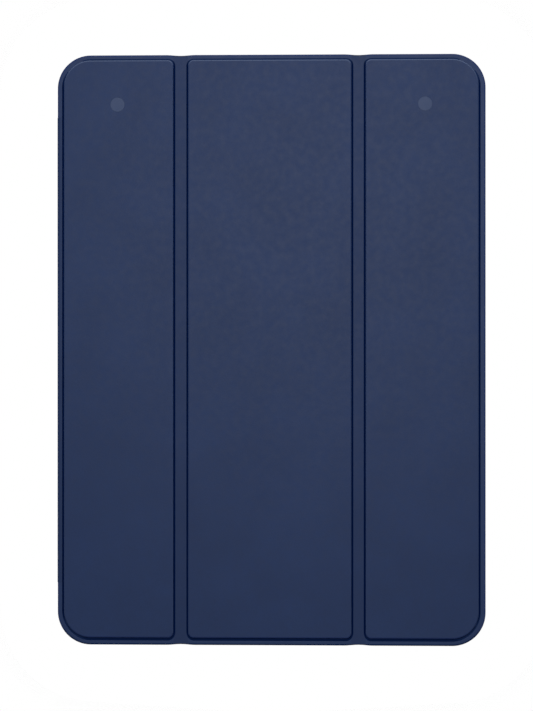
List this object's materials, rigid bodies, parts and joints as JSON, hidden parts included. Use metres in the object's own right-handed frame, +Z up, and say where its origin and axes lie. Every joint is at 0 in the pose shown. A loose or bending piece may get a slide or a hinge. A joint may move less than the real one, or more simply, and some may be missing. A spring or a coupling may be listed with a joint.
{
  "type": "tablet keyboard case",
  "caption": "Folio case for a tablet: moulded tray, soft spine, cover of stiff panels joined by creases, and a slim wireless keyboard held inside by magnets.",
  "frame": {"origin": "middle of the footprint, on the surface that the closed case lies on", "axes": "+Z up, out of the front cover; +Y along the folds, towards the volume buttons; +X from the spine to the free edge"},
  "size_m": [0.185, 0.255, 0.0189],
  "materials": {
    "cover_skin": "smooth matt polyurethane, fine grain",
    "crease_skin": "smooth matt polyurethane, pressed thin",
    "lining": "brushed microfibre",
    "stiffener": "plain glass fibre sheet",
    "magnet_cover": "smooth, a shade lighter than the skin",
    "magnet": "nickel plate",
    "tray_back": "fine spark texture",
    "bumper": "satin thermoplastic rubber",
    "button_rubber": "satin thermoplastic rubber",
    "camera_trim": "satin anodised",
    "keyboard_case": "fine spark texture",
    "support_steel": "rolled",
    "circuit_film": "clear film with silver tracks",
    "dome_rubber": "soft silicone",
    "battery_foil": "matt pouch foil",
    "circuit_board": "solder mask",
    "socket_metal": "stamped",
    "switch_plastic": "satin",
    "light_pipe": "clear",
    "foot_rubber": "matt",
    "keycap": "fine satin texture"
  },
  "bodies": {
    "back_shell": {"back_shell": "tray_back", "bumper_frame": "bumper", "tray_lining": "lining", "camera_ring": "camera_trim", "back_skin": "cover_skin"},
    "volume_up_button": {"volume_up_button": "button_rubber"},
    "volume_down_button": {"volume_down_button": "button_rubber"},
    "power_button": {"power_button_cover": "button_rubber"},
    "spine": {"back_crease": "crease_skin", "spine_skin": "cover_skin", "spine_board": "stiffener", "spine_lining": "lining"},
    "panel_1": {"cover_crease": "crease_skin", "panel_1_skin": "cover_skin", "panel_1_board": "stiffener", "panel_1_lining": "lining", "left_magnet_disc": "magnet_cover"},
    "panel_2": {"first_crease": "crease_skin", "panel_2_skin": "cover_skin", "panel_2_board": "stiffener", "panel_2_lining": "lining", "keyboard_catch_magnets": "magnet"},
    "panel_3": {"second_crease": "crease_skin", "panel_3_skin": "cover_skin", "panel_3_board": "stiffener", "panel_3_lining": "lining", "right_magnet_disc": "magnet_cover", "closure_magnets": "magnet"},
    "keyboard": {"keyboard_base": "keyboard_case", "keyboard_deck": "keyboard_case", "key_support_plate": "support_steel", "membrane": "circuit_film", "key_domes": "dome_rubber", "battery": "battery_foil", "control_board": "circuit_board", "usb_socket": "socket_metal", "status_lights": "light_pipe", "keyboard_feet": "foot_rubber", "keyboard_magnets": "magnet"},
    "power_switch": {"power_switch": "switch_plastic"},
    "function_keys": {"function_keys": "keycap"},
    "number_keys": {"number_keys": "keycap"},
    "backspace_key": {"backspace_key": "keycap"},
    "tab_key": {"tab_key": "keycap"},
    "upper_letter_keys": {"upper_letter_keys": "keycap"},
    "caps_lock_key": {"caps_lock_key": "keycap"},
    "home_letter_keys": {"home_letter_keys": "keycap"},
    "enter_key": {"enter_key": "keycap"},
    "left_shift_key": {"left_shift_key": "keycap"},
    "lower_letter_keys": {"lower_letter_keys": "keycap"},
    "right_shift_key": {"right_shift_key": "keycap"},
    "modifier_keys": {"modifier_keys": "keycap"},
    "space_bar": {"space_bar": "keycap"},
    "left_arrow_key": {"left_arrow_key": "keycap"},
    "right_arrow_key": {"right_arrow_key": "keycap"},
    "up_arrow_key": {"up_arrow_key": "keycap"},
    "down_arrow_key": {"down_arrow_key": "keycap"}
  },
  "joints": [
    {"name": "spine_fold", "type": "hinge", "parent": "back_shell", "child": "spine", "pos_m": [-0.0923, 0, 0.0002], "axis": [0, -1, 0], "range_deg": [0, 255], "deforming": ["back_crease"]},
    {"name": "cover_fold", "type": "hinge", "parent": "spine", "child": "panel_1", "pos_m": [-0.0923, 0, 0.0179], "axis": [0, -1, 0], "range_deg": [0, 105], "deforming": ["cover_crease"]},
    {"name": "first_panel_fold", "type": "hinge", "parent": "panel_1", "child": "panel_2", "pos_m": [-0.0392, 0, 0.0177], "axis": [0, 1, 0], "range_deg": [-132, 0], "deforming": ["first_crease"]},
    {"name": "second_panel_fold", "type": "hinge", "parent": "panel_2", "child": "panel_3", "pos_m": [0.0377, 0, 0.0177], "axis": [0, 1, 0], "range_deg": [-136, 0], "deforming": ["second_crease"]},
    {"name": "keyboard_slide", "type": "slide", "parent": "panel_2", "child": "keyboard", "axis": [1, 0, 0], "range_m": [0, 0.135]},
    {"name": "power_switch_slide", "type": "slide", "parent": "keyboard", "child": "power_switch", "axis": [-1, 0, 0], "range_m": [0, 0.0022]},
    {"name": "volume_up_button_press", "type": "slide", "parent": "back_shell", "child": "volume_up_button", "axis": [0, -1, 0], "range_m": [0, 0.0005], "stiffness_N_per_m": 600},
    {"name": "volume_down_button_press", "type": "slide", "parent": "back_shell", "child": "volume_down_button", "axis": [0, -1, 0], "range_m": [0, 0.0005], "stiffness_N_per_m": 600},
    {"name": "power_button_press", "type": "slide", "parent": "back_shell", "child": "power_button", "axis": [0, -1, 0], "range_m": [0, 0.0005], "stiffness_N_per_m": 600},
    {"name": "function_keys_press", "type": "slide", "parent": "keyboard", "child": "function_keys", "axis": [0, 0, 1], "range_m": [0, 0.0011], "stiffness_N_per_m": 500, "deforming": ["key_domes"]},
    {"name": "number_keys_press", "type": "slide", "parent": "keyboard", "child": "number_keys", "axis": [0, 0, 1], "range_m": [0, 0.0011], "stiffness_N_per_m": 500, "deforming": ["key_domes"]},
    {"name": "backspace_key_press", "type": "slide", "parent": "keyboard", "child": "backspace_key", "axis": [0, 0, 1], "range_m": [0, 0.0011], "stiffness_N_per_m": 500, "deforming": ["key_domes"]},
    {"name": "tab_key_press", "type": "slide", "parent": "keyboard", "child": "tab_key", "axis": [0, 0, 1], "range_m": [0, 0.0011], "stiffness_N_per_m": 500, "deforming": ["key_domes"]},
    {"name": "upper_letter_keys_press", "type": "slide", "parent": "keyboard", "child": "upper_letter_keys", "axis": [0, 0, 1], "range_m": [0, 0.0011], "stiffness_N_per_m": 500, "deforming": ["key_domes"]},
    {"name": "caps_lock_key_press", "type": "slide", "parent": "keyboard", "child": "caps_lock_key", "axis": [0, 0, 1], "range_m": [0, 0.0011], "stiffness_N_per_m": 500, "deforming": ["key_domes"]},
    {"name": "home_letter_keys_press", "type": "slide", "parent": "keyboard", "child": "home_letter_keys", "axis": [0, 0, 1], "range_m": [0, 0.0011], "stiffness_N_per_m": 500, "deforming": ["key_domes"]},
    {"name": "enter_key_press", "type": "slide", "parent": "keyboard", "child": "enter_key", "axis": [0, 0, 1], "range_m": [0, 0.0011], "stiffness_N_per_m": 500, "deforming": ["key_domes"]},
    {"name": "left_shift_key_press", "type": "slide", "parent": "keyboard", "child": "left_shift_key", "axis": [0, 0, 1], "range_m": [0, 0.0011], "stiffness_N_per_m": 500, "deforming": ["key_domes"]},
    {"name": "lower_letter_keys_press", "type": "slide", "parent": "keyboard", "child": "lower_letter_keys", "axis": [0, 0, 1], "range_m": [0, 0.0011], "stiffness_N_per_m": 500, "deforming": ["key_domes"]},
    {"name": "right_shift_key_press", "type": "slide", "parent": "keyboard", "child": "right_shift_key", "axis": [0, 0, 1], "range_m": [0, 0.0011], "stiffness_N_per_m": 500, "deforming": ["key_domes"]},
    {"name": "modifier_keys_press", "type": "slide", "parent": "keyboard", "child": "modifier_keys", "axis": [0, 0, 1], "range_m": [0, 0.0011], "stiffness_N_per_m": 500, "deforming": ["key_domes"]},
    {"name": "space_bar_press", "type": "slide", "parent": "keyboard", "child": "space_bar", "axis": [0, 0, 1], "range_m": [0, 0.0011], "stiffness_N_per_m": 500, "deforming": ["key_domes"]},
    {"name": "left_arrow_key_press", "type": "slide", "parent": "keyboard", "child": "left_arrow_key", "axis": [0, 0, 1], "range_m": [0, 0.0011], "stiffness_N_per_m": 500, "deforming": ["key_domes"]},
    {"name": "right_arrow_key_press", "type": "slide", "parent": "keyboard", "child": "right_arrow_key", "axis": [0, 0, 1], "range_m": [0, 0.0011], "stiffness_N_per_m": 500, "deforming": ["key_domes"]},
    {"name": "up_arrow_key_press", "type": "slide", "parent": "keyboard", "child": "up_arrow_key", "axis": [0, 0, 1], "range_m": [0, 0.0011], "stiffness_N_per_m": 500, "deforming": ["key_domes"]},
    {"name": "down_arrow_key_press", "type": "slide", "parent": "keyboard", "child": "down_arrow_key", "axis": [0, 0, 1], "range_m": [0, 0.0011], "stiffness_N_per_m": 500, "deforming": ["key_domes"]}
  ]
}
